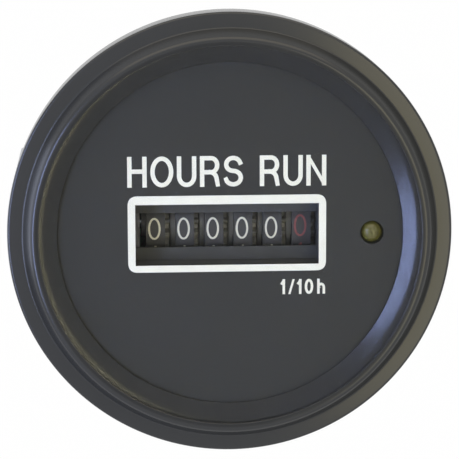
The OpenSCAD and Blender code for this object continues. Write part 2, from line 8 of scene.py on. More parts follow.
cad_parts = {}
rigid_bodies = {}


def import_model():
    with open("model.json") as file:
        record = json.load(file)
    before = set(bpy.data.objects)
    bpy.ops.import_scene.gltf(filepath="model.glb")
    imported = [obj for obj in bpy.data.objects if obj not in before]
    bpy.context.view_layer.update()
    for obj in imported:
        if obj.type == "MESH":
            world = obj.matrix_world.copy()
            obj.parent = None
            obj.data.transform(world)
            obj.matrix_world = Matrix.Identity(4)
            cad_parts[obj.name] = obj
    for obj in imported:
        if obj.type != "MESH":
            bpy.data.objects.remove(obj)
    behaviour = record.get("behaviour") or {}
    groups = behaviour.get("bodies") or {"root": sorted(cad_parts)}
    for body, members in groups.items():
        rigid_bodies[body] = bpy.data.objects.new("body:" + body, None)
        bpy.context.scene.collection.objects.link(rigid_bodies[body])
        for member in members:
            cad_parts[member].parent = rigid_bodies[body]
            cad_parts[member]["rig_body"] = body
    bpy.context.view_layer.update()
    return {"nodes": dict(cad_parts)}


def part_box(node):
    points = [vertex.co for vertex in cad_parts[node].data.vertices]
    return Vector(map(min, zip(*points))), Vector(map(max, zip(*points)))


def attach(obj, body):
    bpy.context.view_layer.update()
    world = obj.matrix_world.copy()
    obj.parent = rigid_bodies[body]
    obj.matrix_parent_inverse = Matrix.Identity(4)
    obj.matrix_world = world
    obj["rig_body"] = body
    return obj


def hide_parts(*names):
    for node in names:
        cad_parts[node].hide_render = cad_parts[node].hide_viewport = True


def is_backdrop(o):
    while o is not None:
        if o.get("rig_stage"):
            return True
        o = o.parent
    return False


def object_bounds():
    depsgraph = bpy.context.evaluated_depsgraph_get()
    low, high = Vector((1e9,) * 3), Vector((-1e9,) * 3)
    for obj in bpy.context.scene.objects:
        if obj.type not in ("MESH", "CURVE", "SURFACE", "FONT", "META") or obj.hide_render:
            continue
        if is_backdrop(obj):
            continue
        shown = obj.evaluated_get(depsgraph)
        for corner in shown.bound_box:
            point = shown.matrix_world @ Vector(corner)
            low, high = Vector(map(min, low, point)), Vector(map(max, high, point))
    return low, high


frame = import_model()
print("frame loaded:", len(frame["nodes"]), "nodes")

mm = 0.001
toFace = Matrix.Rotation(math.pi / 2, 4, "X")  # drawn facing up, then stood up to face the reader
weldGap = 0.0005 * mm  # points closer than this are one point
crease = {"solid": 28, "ring": 32, "stud": 40}  # edges steeper than this stay crisp, in degrees

# places taken from the solids, in mm: x right, y up, z towards the reader
dialFace = -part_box("dial")[0].y / mm
wheelLow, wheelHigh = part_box("wheel_1000")
wheelRadius = wheelHigh.z / mm
wheelAxis = -(wheelLow.y + wheelHigh.y) / 2 / mm


def hexColour(code):
    # sRGB hex to the linear values that a shader reads
    parts = [int(code[i:i + 2], 16) / 255 for i in (1, 3, 5)]
    return [p / 12.92 if p <= 0.04045 else ((p + 0.055) / 1.055) ** 2.4 for p in parts] + [1]


def addNode(tree, kind, values=None, links=None, **settings):
    node = tree.nodes.new(kind)
    for name, value in settings.items():
        setattr(node, name, value)
    for name, value in (values or {}).items():
        node.inputs[name].default_value = value
    for name, source in (links or {}).items():
        tree.links.new(source, node.inputs[name])
    return node


def startMaterial(name, values):
    material = bpy.data.materials.new(name)
    material.use_nodes = True
    tree = material.node_tree
    shader = tree.nodes["Principled BSDF"]
    for socket, value in values.items():
        shader.inputs[socket].default_value = value
    place = addNode(tree, "ShaderNodeTexCoord").outputs["Object"]
    return material, tree, shader, place


def perMm(size):
    return 1 / (size * mm)  # texture scale for a pattern of this size in mm


# depth in mm of the tool's grit, of a metal's draw lines, and the size of a lacquer's mottling
finish = {"gritDeep": 0.02, "lineDeep": 0.01, "mottle": 0.4}


# moulded plastic: an even colour, cloudy gloss and the fine grit of the tool
def mouldedPlastic(name, look):
    material, tree, shader, place = startMaterial(name, {"IOR": look["ior"]})
    cloud = addNode(tree, "ShaderNodeTexNoise", {"Scale": perMm(look["cloud"]), "Detail": 3},
                    {"Vector": place})
    grit = addNode(tree, "ShaderNodeTexNoise", {"Scale": perMm(look["grit"]), "Detail": 2},
                   {"Vector": place})
    tone = addNode(tree, "ShaderNodeMix", {6: hexColour(look["dark"]), 7: hexColour(look["light"])},
                   {0: cloud.outputs["Fac"]}, data_type="RGBA")
    gloss = addNode(tree, "ShaderNodeMapRange", {"To Min": look["rough"][0], "To Max": look["rough"][1]},
                    {"Value": cloud.outputs["Fac"]})
    bump = addNode(tree, "ShaderNodeBump", {"Strength": look["bump"], "Distance": finish["gritDeep"] * mm},
                   {"Height": grit.outputs["Fac"]})
    tree.links.new(tone.outputs[2], shader.inputs["Base Color"])
    tree.links.new(gloss.outputs[0], shader.inputs["Roughness"])
    tree.links.new(bump.outputs[0], shader.inputs["Normal"])
    return material


# painted light: behind the given depth in mm the colour turns to a lighter tone that fills the shade in the
# recess
def paintOnFace(material, liftTone, depth):
    tree = material.node_tree
    shader = tree.nodes["Principled BSDF"]
    ownTone = shader.inputs["Base Color"].links[0].from_socket
    place = addNode(tree, "ShaderNodeTexCoord").outputs["Object"]
    behind = addNode(tree, "ShaderNodeSeparateXYZ", links={"Vector": place}).outputs["Y"]
    ownShare = addNode(tree, "ShaderNodeMath", {1: -depth * mm}, {0: behind}, operation="LESS_THAN")
    tone = addNode(tree, "ShaderNodeMix", {6: hexColour(liftTone)}, {0: ownShare.outputs[0], 7: ownTone},
                   data_type="RGBA")
    tree.links.new(tone.outputs[2], shader.inputs["Base Color"])


# painted light: between two radii in mm the colour turns lighter toward the wheel axis, filling the shade in
# the grooves between the wheels
def paintOnRim(material, liftTone, liftedRadius, fullRadius):
    tree = material.node_tree
    shader = tree.nodes["Principled BSDF"]
    ownTone = shader.inputs["Base Color"].links[0].from_socket
    place = addNode(tree, "ShaderNodeTexCoord").outputs["Object"]
    flat = addNode(tree, "ShaderNodeVectorMath", {1: (0, 1, 1)}, {0: place}, operation="MULTIPLY")
    spoke = addNode(tree, "ShaderNodeVectorMath", {1: (0, -wheelAxis * mm, 0)}, {0: flat.outputs[0]},
                    operation="DISTANCE")
    ownShare = addNode(tree, "ShaderNodeMapRange",
                      {"From Min": liftedRadius * mm, "From Max": fullRadius * mm},
                      {"Value": spoke.outputs["Value"]})
    tone = addNode(tree, "ShaderNodeMix", {6: hexColour(liftTone)}, {0: ownShare.outputs[0], 7: ownTone},
                   data_type="RGBA")
    tree.links.new(tone.outputs[2], shader.inputs["Base Color"])


# metal: long fine draw lines along one direction over a cloudy plate or mill finish
def finishedMetal(name, look):
    material, tree, shader, place = startMaterial(name, {"Metallic": 1})
    lines = addNode(tree, "ShaderNodeMapping", {"Scale": [perMm(s) for s in look["lines"]]},
                    {"Vector": place})
    drawn = addNode(tree, "ShaderNodeTexNoise", {"Scale": 1, "Detail": 2}, {"Vector": lines.outputs[0]})
    cloud = addNode(tree, "ShaderNodeTexNoise", {"Scale": perMm(look["cloud"]), "Detail": 4},
                    {"Vector": place})
    tone = addNode(tree, "ShaderNodeMix", {6: hexColour(look["dark"]), 7: hexColour(look["light"])},
                   {0: cloud.outputs["Fac"]}, data_type="RGBA")
    gloss = addNode(tree, "ShaderNodeMapRange", {"To Min": look["rough"][0], "To Max": look["rough"][1]},
                    {"Value": drawn.outputs["Fac"]})
    bump = addNode(tree, "ShaderNodeBump", {"Strength": look["bump"], "Distance": finish["lineDeep"] * mm},
                   {"Height": drawn.outputs["Fac"]})
    tree.links.new(tone.outputs[2], shader.inputs["Base Color"])
    tree.links.new(gloss.outputs[0], shader.inputs["Roughness"])
    tree.links.new(bump.outputs[0], shader.inputs["Normal"])
    return material


# printed ink: flat colour that thins a little where the screen left it
def printedInk(name, look):
    material, tree, shader, place = startMaterial(name, {"Roughness": look["rough"], "IOR": 1.5})
    patch = addNode(tree, "ShaderNodeTexNoise", {"Scale": perMm(look["patch"]), "Detail": 3},
                    {"Vector": place})
    tone = addNode(tree, "ShaderNodeMix", {6: hexColour(look["thin"]), 7: hexColour(look["full"])},
                   {0: patch.outputs["Fac"]}, data_type="RGBA")
    tree.links.new(tone.outputs[2], shader.inputs["Base Color"])
    return material


# a round component with coloured rings or stripes along x, at places given in mm from its middle
def bandedBody(name, look):
    material, tree, shader, place = startMaterial(name, {"Roughness": look["rough"], "IOR": 1.5})
    along = addNode(tree, "ShaderNodeSeparateXYZ", links={"Vector": place}).outputs["X"]
    speck = addNode(tree, "ShaderNodeTexNoise", {"Scale": perMm(finish["mottle"]), "Detail": 2},
                    {"Vector": place})
    colour = addNode(tree, "ShaderNodeMix", {6: hexColour(look["body"]), 7: hexColour(look["light"])},
                     {0: speck.outputs["Fac"]}, data_type="RGBA").outputs[2]
    for middle, width, code in look["bands"]:
        inBand = addNode(tree, "ShaderNodeMath", {1: middle * mm, 2: width / 2 * mm}, {0: along},
                         operation="COMPARE")
        colour = addNode(tree, "ShaderNodeMix", {7: hexColour(code)}, {0: inBand.outputs[0], 6: colour},
                         data_type="RGBA").outputs[2]
    tree.links.new(colour, shader.inputs["Base Color"])
    return material


# black ABS from a lightly spark-eroded tool: soft satin sheen, no visible grain at arm's length
satinAbs = mouldedPlastic("satinAbs", {
    "dark": "#262728", "light": "#2c2d2e", "cloud": 9, "grit": 0.25,
    "rough": (0.2, 0.25), "bump": 0.05, "ior": 1.52})
# polished black polystyrene: the reflector ring, glossy enough to carry a soft highlight
glossStyrene = mouldedPlastic("glossStyrene", {
    "dark": "#17181a", "light": "#1c1d1f", "cloud": 7, "grit": 0.4,
    "rough": (0.22, 0.25), "bump": 0.01, "ior": 1.55})
# matt black paint on the dial plate: faint roller clouds, almost no gloss; deeper in the window hood a
# lighter tone is painted, standing in for light in its shade
mattPaint = mouldedPlastic("mattPaint", {
    "dark": "#2a2a26", "light": "#30302b", "cloud": 14, "grit": 0.18,
    "rough": (0.62, 0.72), "bump": 0.15, "ior": 1.45})
liftDeep = 0.8  # mm behind the dial face where the painted lightening of the hood's shade begins
paintOnFace(mattPaint, "#4a4a46", dialFace - liftDeep)
# black ABS case, rougher tool than the bezel
grainedAbs = mouldedPlastic("grainedAbs", {
    "dark": "#222325", "light": "#2a2b2d", "cloud": 6, "grit": 0.3,
    "rough": (0.48, 0.6), "bump": 0.35, "ior": 1.52})
# grey acetal number wheels, waxy, dark at the rim under the digits; toward the axis painted light lifts the
# shade in the grooves between the wheels
wheelAcetalPaintedFill = mouldedPlastic("wheelAcetalPaintedFill", {
    "dark": "#403f3c", "light": "#484744", "cloud": 4, "grit": 0.2,
    "rough": (0.4, 0.5), "bump": 0.1, "ior": 1.48})
# painted light on the gear, then paler painted light on the carry disc, filling the shade in the grooves: mm
# inside the rim where the lift is whole, and where the wheel's own dark tone is full
for liftTone, liftDepth, full in (("#83827c", 0.9, 0.7), ("#c4c3bc", 1.78, 1.74)):
    paintOnRim(wheelAcetalPaintedFill, liftTone, wheelRadius - liftDepth, wheelRadius - full)
# natural acetal gears, milky white
naturalAcetal = mouldedPlastic("naturalAcetal", {
    "dark": "#d8d5c9", "light": "#e6e3d8", "cloud": 2, "grit": 0.2,
    "rough": (0.35, 0.45), "bump": 0.08, "ior": 1.48})
# natural nylon bobbin, creamy
creamNylon = mouldedPlastic("creamNylon", {
    "dark": "#cfc8b2", "light": "#ddd7c4", "cloud": 2, "grit": 0.2,
    "rough": (0.42, 0.52), "bump": 0.1, "ior": 1.53})
# sintered ferrite magnet: dull charcoal with a fine crumb
sinteredFerrite = mouldedPlastic("sinteredFerrite", {
    "dark": "#2f3031", "light": "#44464a", "cloud": 0.6, "grit": 0.1,
    "rough": (0.6, 0.75), "bump": 0.5, "ior": 1.8})
# closed-cell rubber gasket
cellRubber = mouldedPlastic("cellRubber", {
    "dark": "#151516", "light": "#202022", "cloud": 1, "grit": 0.25,
    "rough": (0.8, 0.9), "bump": 0.7, "ior": 1.5})

# zinc-plated steel: pale grey, a little blue, with faint press lines
zincSteel = finishedMetal("zincSteel", {
    "dark": "#a9adb2", "light": "#c6c9cc", "cloud": 3, "lines": (4, 4, 0.12),
    "rough": (0.3, 0.42), "bump": 0.15})
# turned and plated fasteners, brighter than the strip
zincFastener = finishedMetal("zincFastener", {
    "dark": "#b2b6ba", "light": "#cfd2d4", "cloud": 1.5, "lines": (0.2, 3, 0.2),
    "rough": (0.24, 0.36), "bump": 0.1})
# grey phosphated steel of the counter frame: dull, so nothing shines between the wheels
phosphatedSteel = mouldedPlastic("phosphatedSteel", {
    "dark": "#424344", "light": "#4e4f50", "cloud": 2, "grit": 0.15,
    "rough": (0.55, 0.7), "bump": 0.3, "ior": 1.9})
# ground steel shaft
groundSteel = finishedMetal("groundSteel", {
    "dark": "#b9bcbf", "light": "#cccfd1", "cloud": 2, "lines": (0.08, 2, 2),
    "rough": (0.16, 0.24), "bump": 0.08})
# soft magnetic steel of the motor: darker, mill finish
softSteel = finishedMetal("softSteel", {
    "dark": "#7e8185", "light": "#989b9f", "cloud": 2, "lines": (2, 2, 0.1),
    "rough": (0.38, 0.5), "bump": 0.15})
# tinned brass blades: warm white metal with a dull tin bloom
tinnedBrass = finishedMetal("tinnedBrass", {
    "dark": "#b5b09c", "light": "#cdc9b8", "cloud": 1.2, "lines": (3, 0.1, 0.1),
    "rough": (0.3, 0.45), "bump": 0.12})
# drawn nickel-plated can of the crystal
drawnNickel = finishedMetal("drawnNickel", {
    "dark": "#b8b6ae", "light": "#cfcdc6", "cloud": 1.5, "lines": (0.15, 4, 4),
    "rough": (0.2, 0.3), "bump": 0.08})
# enamelled copper wire, fine orange turns across the coil
enamelledCopper = finishedMetal("enamelledCopper", {
    "dark": "#8e4a22", "light": "#b4652f", "cloud": 1, "lines": (4, 0.09, 4),
    "rough": (0.25, 0.4), "bump": 0.8})

# white screen ink on the dial
whiteInk = printedInk("whiteInk", {"thin": "#ecead6", "full": "#f6f4e0", "patch": 1.2, "rough": 0.55})
# creamy white ink of the hour digits, and the dull red of the tenths
creamInk = printedInk("creamInk", {"thin": "#dfdcc4", "full": "#f0ecd3", "patch": 0.5, "rough": 0.6})
redInk = printedInk("redInk", {"thin": "#7f4743", "full": "#955550", "patch": 0.5, "rough": 0.6})

# film resistor, rectifier and electrolytic capacitor with their plain rings
resistorLacquer = bandedBody("resistorLacquer", {
    "body": "#bda06b", "light": "#cdb27e", "rough": 0.4,
    "bands": [(-1.5, 0.5, "#6a3b1c"), (-0.5, 0.5, "#1e1e1e"), (0.5, 0.5, "#a8302a"),
              (1.8, 0.5, "#b08a35")]})
diodeEpoxy = bandedBody("diodeEpoxy", {
    "body": "#1d1d1f", "light": "#262628", "rough": 0.45, "bands": [(1.6, 0.7, "#c8c8c6")]})
capacitorSleeve = bandedBody("capacitorSleeve", {
    "body": "#1d2740", "light": "#25304c", "rough": 0.35,
    "bands": [(5.6, 0.5, "#8f9296"), (12.4, 0.3, "#2f3138")]})


# clear acrylic lens: polished, with faint wiping smears; shadow rays pass so that the dial is lit through it
lensLook = {"tint": "#fbfcfc", "ior": 1.49, "smear": 12, "clean": 0.4, "wiped": 0.75, "haze": 0.05}


def clearAcrylic():
    material, tree, shader, place = startMaterial("clearAcrylic", {
        "Base Color": hexColour(lensLook["tint"]), "Transmission Weight": 1, "IOR": lensLook["ior"]})
    smear = addNode(tree, "ShaderNodeTexNoise", {"Scale": perMm(lensLook["smear"]), "Detail": 4},
                    {"Vector": place})
    haze = addNode(tree, "ShaderNodeMapRange",
                   {"From Min": lensLook["clean"], "From Max": lensLook["wiped"], "To Min": 0.0,
                    "To Max": lensLook["haze"]}, {"Value": smear.outputs["Fac"]})
    tree.links.new(haze.outputs[0], shader.inputs["Roughness"])
    ray = addNode(tree, "ShaderNodeLightPath")
    passing = addNode(tree, "ShaderNodeBsdfTransparent")
    both = addNode(tree, "ShaderNodeMixShader",
                   links={0: ray.outputs["Is Shadow Ray"], 1: shader.outputs[0], 2: passing.outputs[0]})
    tree.links.new(both.outputs[0], tree.nodes["Material Output"].inputs["Surface"])
    return material


# tinted epoxy of the lamp: olive yellow, clear at the skin and cloudy inside
lampLook = {"dark": "#544f20", "light": "#6a662c", "cloud": 0.9, "ior": 1.54, "rough": 0.12,
            "clear": 0.25, "skin": 0.4, "skinRough": 0.05}


def tintedEpoxy():
    material, tree, shader, place = startMaterial("tintedEpoxy", {
        "IOR": lampLook["ior"], "Roughness": lampLook["rough"], "Transmission Weight": lampLook["clear"],
        "Coat Weight": lampLook["skin"], "Coat Roughness": lampLook["skinRough"]})
    cloud = addNode(tree, "ShaderNodeTexNoise", {"Scale": perMm(lampLook["cloud"]), "Detail": 2},
                    {"Vector": place})
    tone = addNode(tree, "ShaderNodeMix",
                   {6: hexColour(lampLook["dark"]), 7: hexColour(lampLook["light"])},
                   {0: cloud.outputs["Fac"]}, data_type="RGBA")
    tree.links.new(tone.outputs[2], shader.inputs["Base Color"])
    return material


# glass-fibre board under green solder mask: copper tracks show as paler lines
# through draws each track straight through the board, and spread and wide are in pin pitches
boardLook = {"dark": "#1b4a33", "light": "#235a3f", "track": "#3f7f57", "weave": 0.5, "rough": 0.32,
             "ior": 1.5, "pinPitch": 2.54, "through": 40, "spread": 0.6, "wide": 0.08}


def maskedBoard():
    material, tree, shader, place = startMaterial("maskedBoard", {
        "Roughness": boardLook["rough"], "IOR": boardLook["ior"]})
    weave = addNode(tree, "ShaderNodeTexNoise", {"Scale": perMm(boardLook["weave"]), "Detail": 2},
                    {"Vector": place})
    cell = [perMm(boardLook[size]) for size in ("pinPitch", "through", "pinPitch")]
    grid = addNode(tree, "ShaderNodeMapping", {"Scale": cell}, {"Vector": place})
    tracks = addNode(tree, "ShaderNodeTexVoronoi", {"Scale": boardLook["spread"]},
                     {"Vector": grid.outputs[0]}, feature="DISTANCE_TO_EDGE", distance="EUCLIDEAN")
    onTrack = addNode(tree, "ShaderNodeMath", {1: boardLook["wide"]}, {0: tracks.outputs["Distance"]},
                      operation="LESS_THAN")
    mask = addNode(tree, "ShaderNodeMix",
                   {6: hexColour(boardLook["dark"]), 7: hexColour(boardLook["light"])},
                   {0: weave.outputs["Fac"]}, data_type="RGBA")
    tone = addNode(tree, "ShaderNodeMix", {7: hexColour(boardLook["track"])},
                   {0: onTrack.outputs[0], 6: mask.outputs[2]}, data_type="RGBA")
    tree.links.new(tone.outputs[2], shader.inputs["Base Color"])
    return material


# black moulded chip: matt epoxy, with bright tinned legs that start where the body ends
chipLook = {"dark": "#1a1b1c", "light": "#252627", "speck": 0.15, "rough": 0.6, "legs": "#bdbdb8",
            "legRough": 0.3, "legReach": 1.02}


def mouldedChip():
    material, tree, shader, place = startMaterial("mouldedChip", {})
    low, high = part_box("chip")
    middle, half = (low.z + high.z) / 2, (high.z - low.z) / 2 - chipLook["legReach"] * mm
    across = addNode(tree, "ShaderNodeSeparateXYZ", links={"Vector": place}).outputs["Z"]
    onBody = addNode(tree, "ShaderNodeMath", {1: middle, 2: half}, {0: across},
                     operation="COMPARE").outputs[0]
    speck = addNode(tree, "ShaderNodeTexNoise", {"Scale": perMm(chipLook["speck"]), "Detail": 2},
                    {"Vector": place})
    epoxy = addNode(tree, "ShaderNodeMix",
                    {6: hexColour(chipLook["dark"]), 7: hexColour(chipLook["light"])},
                    {0: speck.outputs["Fac"]}, data_type="RGBA")
    tone = addNode(tree, "ShaderNodeMix", {6: hexColour(chipLook["legs"])},
                   {0: onBody, 7: epoxy.outputs[2]}, data_type="RGBA")
    metal = addNode(tree, "ShaderNodeMath", {0: 1.0}, {1: onBody}, operation="SUBTRACT")
    gloss = addNode(tree, "ShaderNodeMapRange",
                    {"To Min": chipLook["legRough"], "To Max": chipLook["rough"]}, {"Value": onBody})
    tree.links.new(tone.outputs[2], shader.inputs["Base Color"])
    tree.links.new(metal.outputs[0], shader.inputs["Metallic"])
    tree.links.new(gloss.outputs[0], shader.inputs["Roughness"])
    return material


lensAcrylic = clearAcrylic()
lampEpoxy = tintedEpoxy()
boardMask = maskedBoard()
chipEpoxy = mouldedChip()
print("materials made:", len(bpy.data.materials))

# which finish each carried-over solid takes
finishOf = {
    "bezel": satinAbs, "lens": lensAcrylic, "reflector_ring": glossStyrene, "dial": mattPaint,
    "dial_gasket": cellRubber, "case": grainedAbs, "lamp": lampEpoxy, "lamp_leads": tinnedBrass,
    "counter_frame": phosphatedSteel, "dial_screws": zincFastener, "wheel_shaft": groundSteel,
    "pinion_shaft": groundSteel, "idler_gear": naturalAcetal, "rotor": naturalAcetal,
    "rotor_magnet": sinteredFerrite, "rotor_pin": groundSteel, "stator": softSteel, "coil_core": softSteel,
    "coil_bobbin": creamNylon, "coil_winding": enamelledCopper, "stator_screws": zincFastener,
    "board": boardMask, "chip": chipEpoxy, "crystal": drawnNickel, "capacitor": capacitorSleeve,
    "resistor": resistorLacquer, "diode": diodeEpoxy, "board_screws": zincFastener,
    "terminals": tinnedBrass, "studs": zincFastener, "clamp_bracket": zincSteel,
    "lock_washers": zincFastener, "clamp_nuts": zincFastener}
for node in frame["nodes"]:
    if node.startswith("wheel_1") or node == "wheel_tenths":
        finishOf[node] = wheelAcetalPaintedFill
    if node.startswith("pinion_1"):
        finishOf[node] = naturalAcetal
for node, solid in frame["nodes"].items():
    solid.data.materials.clear()
    solid.data.materials.append(finishOf[node])


def shadeByAngle(mesh, degrees):
    # smooth over shallow edges, crisp over steep ones
    work = bmesh.new()
    work.from_mesh(mesh)
    for face in work.faces:
        face.smooth = True
    for edge in work.edges:
        steep = len(edge.link_faces) == 2 and edge.calc_face_angle(0) > math.radians(degrees)
        edge.smooth = not steep
    work.to_mesh(mesh)
    work.free()


def linkPiece(name, mesh, body, material):
    piece = bpy.data.objects.new(name, mesh)
    bpy.context.scene.collection.objects.link(piece)
    mesh.materials.clear()
    mesh.materials.append(material)
    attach(piece, body)
    return piece


# a round solid shown with its true smooth surface in place of the facets
def smoothPiece(node):
    solid = frame["nodes"][node]
    mesh = solid.data.copy()
    work = bmesh.new()
    work.from_mesh(mesh)
    bmesh.ops.remove_doubles(work, verts=work.verts, dist=weldGap)
    work.to_mesh(mesh)
    work.free()
    shadeByAngle(mesh, crease["solid"])
    piece = linkPiece(node + "_smooth", mesh, solid["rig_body"], finishOf[node])
    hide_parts(node)


smoothNodes = ["case", "lens", "lamp", "dial", "clamp_bracket", "wheel_tenths"]
smoothNodes += ["wheel_1" + "0" * n for n in range(5)]
for node in smoothNodes:
    smoothPiece(node)
print("smooth pieces made:", len(smoothNodes))


def evaluatedMesh(piece):
    bpy.context.view_layer.update()
    graph = bpy.context.evaluated_depsgraph_get()
    mesh = bpy.data.meshes.new_from_object(piece.evaluated_get(graph), depsgraph=graph)
    bpy.data.objects.remove(piece)
    return mesh


def roundedOutline(corners, steps=6):
    # corners are (x, y, radius); a corner with a radius becomes a curve between its two tangent points
    most = 0.49  # share of a side that one curve may take
    points = []
    for i, (x, y, radius) in enumerate(corners):
        here = Vector((x, y))
        before = Vector(corners[i - 1][:2]) - here
        after = Vector(corners[(i + 1) % len(corners)][:2]) - here
        if radius == 0:
            points.append(here)
            continue
        reach = min(radius / math.tan(before.angle(after) / 2), before.length * most, after.length * most)
        start, end = here + before.normalized() * reach, here + after.normalized() * reach
        for s in range(steps + 1):
            t = s / steps
            points.append(start * (1 - t) ** 2 + here * 2 * t * (1 - t) + end * t ** 2)
    return points


# turned ring: a closed section carried round the axis
def turnedRingTree():
    tree = bpy.data.node_groups.new("turnedRing", "GeometryNodeTree")
    face = tree.interface
    for name, kind in (("Section", "Geometry"), ("Radius", "Float"), ("Segments", "Int"),
                       ("Finish", "Material")):
        face.new_socket(name, in_out="INPUT", socket_type="NodeSocket" + kind)
    face.new_socket("Ring", in_out="OUTPUT", socket_type="NodeSocketGeometry")
    given = addNode(tree, "NodeGroupInput")
    section = addNode(tree, "GeometryNodeMeshToCurve", links={"Mesh": given.outputs["Section"]})
    circle = addNode(tree, "GeometryNodeCurvePrimitiveCircle",
                     links={"Resolution": given.outputs["Segments"], "Radius": given.outputs["Radius"]})
    level = addNode(tree, "GeometryNodeSetCurveNormal", links={"Curve": circle.outputs["Curve"]},
                    mode="Z_UP")
    swept = addNode(tree, "GeometryNodeCurveToMesh",
                    links={"Curve": level.outputs["Curve"], "Profile Curve": section.outputs["Curve"]})
    real = addNode(tree, "GeometryNodeRealizeInstances", links={"Geometry": swept.outputs["Mesh"]})
    coated = addNode(tree, "GeometryNodeSetMaterial",
                     links={"Geometry": real.outputs["Geometry"], "Material": given.outputs["Finish"]})
    addNode(tree, "NodeGroupOutput", links={"Ring": coated.outputs["Geometry"]})
    return tree


def setInput(modifier, name, value):
    for item in modifier.node_group.interface.items_tree:
        if item.in_out == "INPUT" and item.name == name:
            modifier[item.identifier] = value


ringTree = turnedRingTree()


def turnedRing(node, corners, radius, segments=256):
    # the sweep takes the section's x outwards and its y down the axis
    outline = [((p.x - radius) * mm, -p.y * mm, 0) for p in roundedOutline(corners)]
    edges = [(i, (i + 1) % len(outline)) for i in range(len(outline))]
    mesh = bpy.data.meshes.new(node + "Section")
    mesh.from_pydata(outline, edges, [])
    piece = bpy.data.objects.new(node + "Section", mesh)
    bpy.context.scene.collection.objects.link(piece)
    modifier = piece.modifiers.new("turned", "NODES")
    modifier.node_group = ringTree
    setInput(modifier, "Radius", radius * mm)
    setInput(modifier, "Segments", segments)
    setInput(modifier, "Finish", finishOf[node])
    ring = evaluatedMesh(piece)
    work = bmesh.new()
    work.from_mesh(ring)
    bmesh.ops.remove_doubles(work, verts=work.verts, dist=weldGap)
    bmesh.ops.recalc_face_normals(work, faces=work.faces)
    work.transform(toFace)
    work.to_mesh(ring)
    work.free()
    shadeByAngle(ring, crease["ring"])
    made = linkPiece(node + "_turned", ring, "meter", finishOf[node])
    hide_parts(node)


# radii and heights in mm, edgeEnd and lipStart in degrees; the section is carried round at the sweep radius
bezel = {"outer": 29.0, "inner": 26.6, "cavity": 27.3, "seat": 25.75, "bead": 0.9, "rearRound": 0.3,
         "side": 4.5, "edgeRound": 0.4, "edgeEnd": 85, "band": 0.12, "step": 26.95, "cove": 0.33,
         "lip": 24.85, "lipFlat": 0.45, "lipRound": 0.9, "lipStart": 30, "lipEdge": 0.1, "sweep": 27}
lensLow, lensHigh = -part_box("lens")[1].y / mm, -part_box("lens")[0].y / mm
lipTop = -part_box("bezel")[0].y / mm


def arc(x, y, wide, tall, start, end, steps=16):
    turns = [math.radians(start + (end - start) * i / steps) for i in range(steps + 1)]
    return [(x + wide * math.cos(t), y + tall * math.sin(t)) for t in turns]


def sharp(points):
    return [(x, y, 0) for x, y in points]  # an outline that is already curved needs no more rounding


bandTop = bezel["side"] + bezel["edgeRound"] + bezel["band"]
edgeMiddle = bezel["outer"] - bezel["edgeRound"]
roundX, roundY = bezel["lip"] + bezel["lipFlat"], lipTop - bezel["lipRound"]
turnedRing("bezel", [(bezel["inner"], 0, 0), (bezel["outer"], 0, bezel["rearRound"])]
           + sharp(arc(edgeMiddle, bezel["side"], bezel["edgeRound"], bezel["edgeRound"],
                       0, bezel["edgeEnd"], 8))
           + [(bezel["step"], bandTop, bezel["cove"])]
           + sharp(arc(roundX, roundY, bezel["lipRound"], bezel["lipRound"], bezel["lipStart"], 90, 18))
           + [(bezel["lip"], lipTop, bezel["lipEdge"]), (bezel["lip"], lensHigh, 0),
              (bezel["seat"], lensHigh, 0), (bezel["seat"], dialFace, 0), (bezel["cavity"], dialFace, 0),
              (bezel["cavity"], bezel["bead"], 0), (bezel["inner"], bezel["bead"], 0)], bezel["sweep"])

# the reflector ring: a rounded shoulder, a straight cone, and an undercut that throws a shadow on the dial
cone = {"outer": 25.65, "top": 25.05, "foot": 22.55, "shoulder": 3.0, "shoulderStart": 97,
        "shoulderEnd": 116, "gap": 0.25, "footEdge": 0.1, "footRound": 0.06, "undercut": 1.0, "sweep": 24}
shoulderTurn = math.radians(cone["shoulderStart"])
shoulderX = cone["top"] - cone["shoulder"] * math.cos(shoulderTurn)
shoulderY = lensLow - cone["shoulder"] * math.sin(shoulderTurn)
turnedRing("reflector_ring", [(cone["outer"], dialFace, 0), (cone["outer"], lensLow, 0)]
           + sharp(arc(shoulderX, shoulderY, cone["shoulder"], cone["shoulder"],
                       cone["shoulderStart"], cone["shoulderEnd"], 12))
           + [(cone["foot"], dialFace + cone["gap"] + cone["footEdge"], cone["footRound"]),
              (cone["foot"], dialFace + cone["gap"], 0),
              (cone["foot"] + cone["undercut"], dialFace + cone["gap"], 0),
              (cone["foot"] + cone["undercut"], dialFace, 0)], cone["sweep"])
print("turned rings made")


